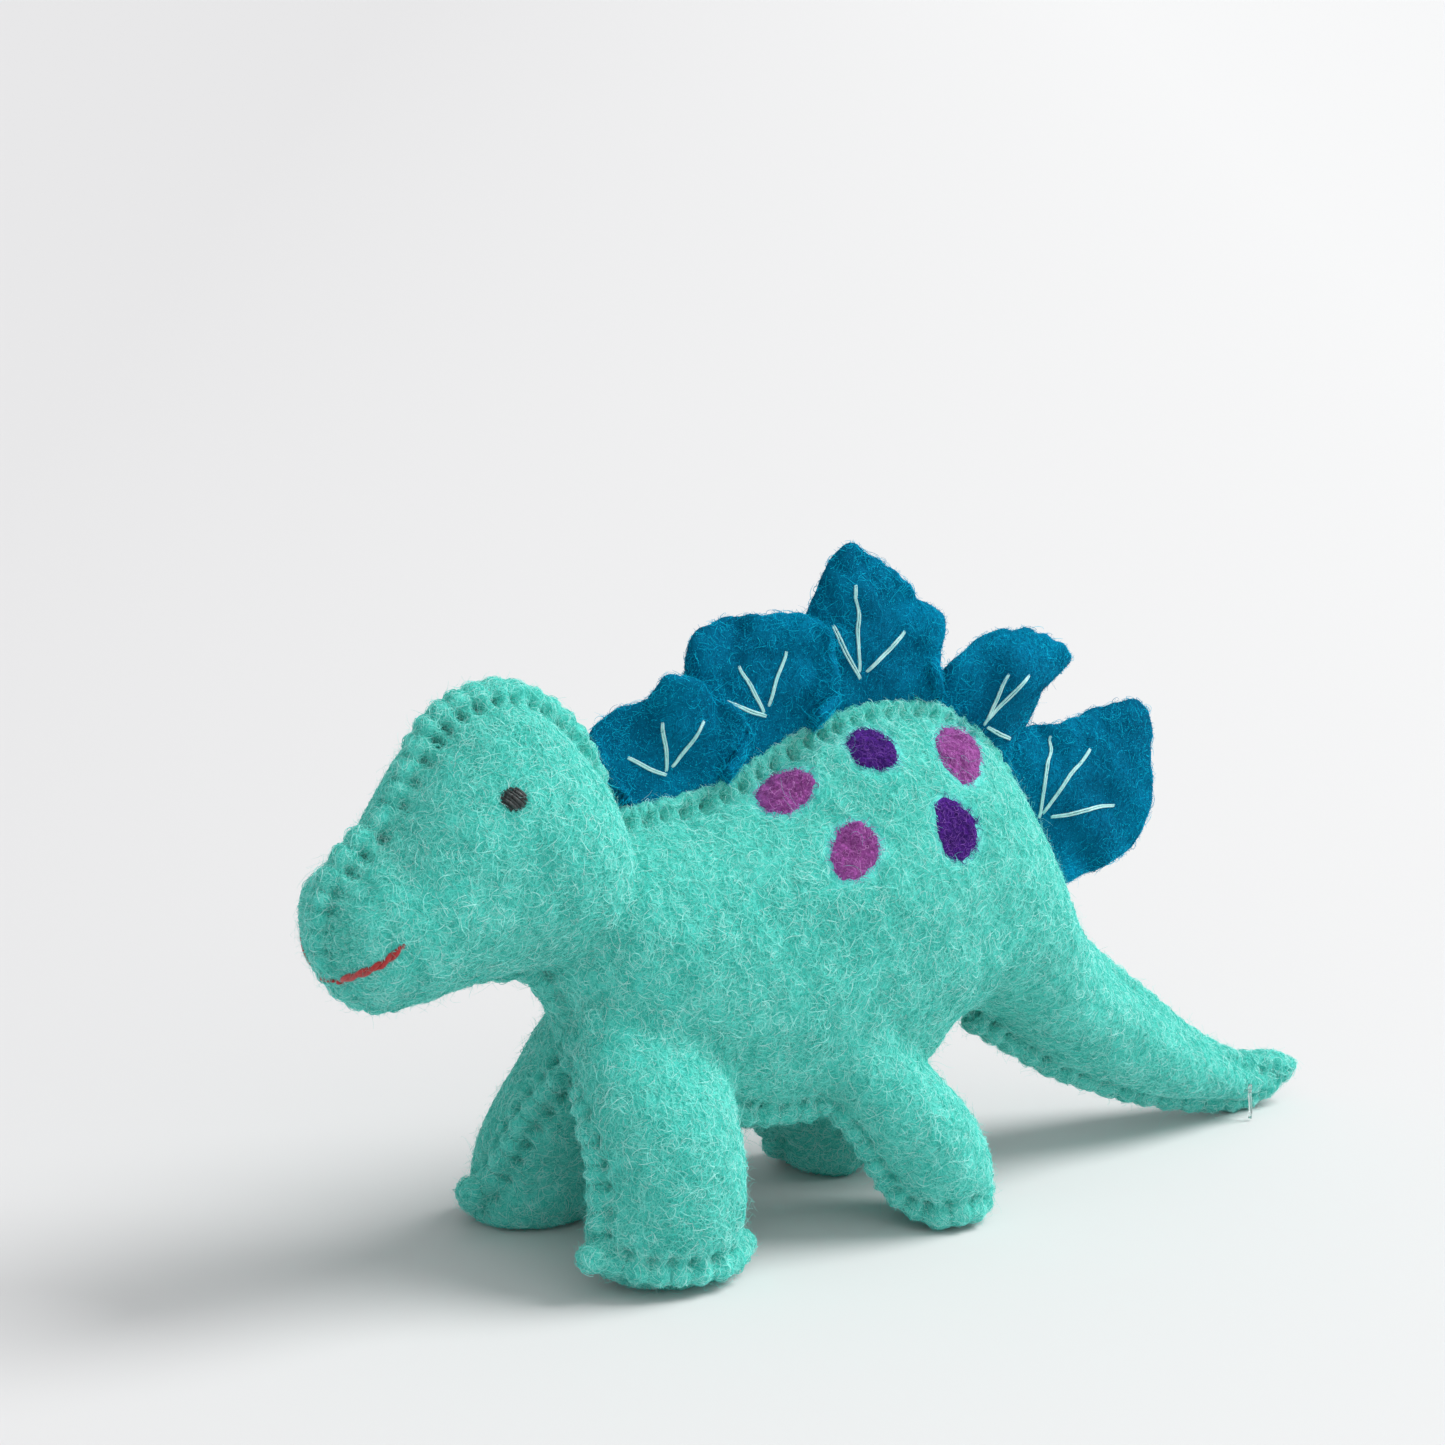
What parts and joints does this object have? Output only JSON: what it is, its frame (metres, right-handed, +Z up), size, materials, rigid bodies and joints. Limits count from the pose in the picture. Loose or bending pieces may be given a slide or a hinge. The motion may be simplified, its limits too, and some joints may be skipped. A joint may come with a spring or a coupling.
{
  "type": "stuffed dinosaur",
  "caption": "Hand-sewn stuffed felt dinosaur with a scalloped back crest, felted spots, thread eyes and mouth, standing on stitched feet.",
  "frame": {"origin": "on the floor under the middle of the toy's box", "axes": "+X from head to tail, +Z up, the toy's left side towards -Y"},
  "size_m": [0.2084, 0.0628, 0.1165],
  "materials": {
    "body_felt": "wet-felted wool, fuzzy",
    "crest_felt": "wool felt sheet, fuzzy",
    "magenta_wool": "needle-felted wool",
    "purple_wool": "needle-felted wool",
    "vein_thread": "stranded embroidery thread",
    "body_thread": "matte sewing thread",
    "black_thread": "wound embroidery thread",
    "red_thread": "twisted embroidery thread",
    "stuffing": "loose fibre wadding",
    "clear_nylon": "clear moulded nylon"
  },
  "bodies": {
    "root": {"left_side_panel": "body_felt", "right_side_panel": "body_felt", "belly_gusset": "body_felt", "crest_strip": "crest_felt", "plate_1_veins": "vein_thread", "plate_2_veins": "vein_thread", "plate_3_veins": "vein_thread", "plate_4_veins": "vein_thread", "plate_5_veins": "vein_thread", "left_spot_1": "magenta_wool", "left_spot_2": "purple_wool", "left_spot_3": "magenta_wool", "left_spot_4": "magenta_wool", "left_spot_5": "purple_wool", "right_spot_1": "magenta_wool", "right_spot_2": "purple_wool", "right_spot_3": "magenta_wool", "right_spot_4": "magenta_wool", "right_spot_5": "purple_wool", "left_eye": "black_thread", "right_eye": "black_thread", "mouth_thread": "red_thread", "head_seam_thread": "body_thread", "back_seam_thread": "body_thread", "tail_seam_thread": "body_thread", "left_gusset_thread": "body_thread", "right_gusset_thread": "body_thread", "head_stuffing": "stuffing", "body_stuffing": "stuffing", "tail_stuffing": "stuffing", "front_left_leg_stuffing": "stuffing", "front_right_leg_stuffing": "stuffing", "hind_left_leg_stuffing": "stuffing", "hind_right_leg_stuffing": "stuffing", "tag_fastener": "clear_nylon"}
  },
  "joints": []
}
